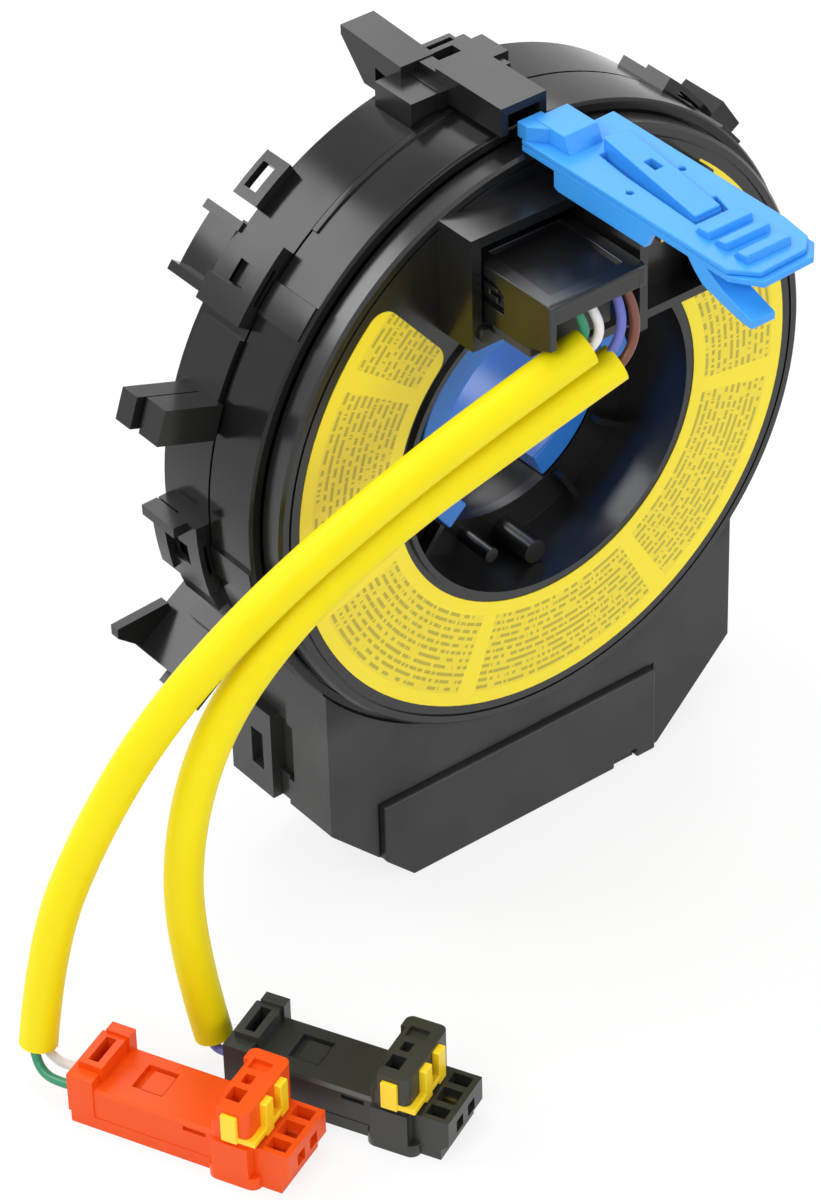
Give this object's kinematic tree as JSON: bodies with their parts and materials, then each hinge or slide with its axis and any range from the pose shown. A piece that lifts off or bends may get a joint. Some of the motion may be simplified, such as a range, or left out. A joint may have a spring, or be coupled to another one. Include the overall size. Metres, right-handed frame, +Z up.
{
  "type": "steering clock spring",
  "caption": "Steering clock spring: a rotor with a spiral flat cable turns in a fixed case, with a pull-out lock clip, a cancel ring in the bore and sleeved leads to airbag plugs.",
  "frame": {"origin": "on the rotor's axis, in the plane of the rotor's label face", "axes": "+Y runs along the rotor's axis into the object, away from the label; +Z is up, away from the connector block the part stands on; +X is to the right seen from the front"},
  "size_m": [0.1557, 0.089, 0.1335],
  "materials": {
    "case_black": "satin",
    "rotor_black": "gloss",
    "clip_blue": "satin",
    "ring_blue": "satin",
    "label_yellow": "satin",
    "sleeve_yellow": "satin",
    "plug_orange": "satin",
    "plug_black": "satin",
    "lock_yellow": "satin",
    "contact_brass": "satin",
    "holder_grey": "matte",
    "cable_film": "gloss",
    "slide_white": "matte",
    "wire_green": "satin",
    "wire_white": "satin",
    "wire_blue": "satin",
    "wire_brown": "satin"
  },
  "bodies": {
    "stator": {"front_case": "case_black", "rear_cover": "case_black", "block_cover_plate": "case_black", "column_socket": "case_black", "column_pins": "contact_brass", "case_cable_joint": "holder_grey", "slide_sheet": "slide_white", "flat_cable": "cable_film"},
    "rotor": {"rotor": "rotor_black", "rotor_cable_joint": "holder_grey", "rear_sleeve": "case_black", "cancel_ring": "ring_blue", "label": "label_yellow", "switch_pins": "contact_brass", "wire_cover": "rotor_black", "wire_holder": "holder_grey", "orange_sleeve": "sleeve_yellow", "black_sleeve": "sleeve_yellow", "green_wire": "wire_green", "white_wire": "wire_white", "blue_wire": "wire_blue", "brown_wire": "wire_brown", "orange_plug_body": "plug_orange", "orange_plug_base": "plug_orange", "orange_plug_lock": "lock_yellow", "orange_plug_terminals": "contact_brass", "black_plug_body": "plug_black", "black_plug_base": "plug_black", "black_plug_lock": "lock_yellow", "black_plug_terminals": "contact_brass"},
    "clip": {"lock_clip": "clip_blue"}
  },
  "joints": [
    {"name": "rotor_spin", "type": "hinge", "parent": "stator", "child": "rotor", "pos_m": [0, 0, 0], "axis": [0, 1, 0], "range_deg": [-900, 900]},
    {"name": "lock_clip_pull", "type": "slide", "parent": "rotor", "child": "clip", "axis": [0, -1, 0], "range_m": [0, 0.06]}
  ]
}
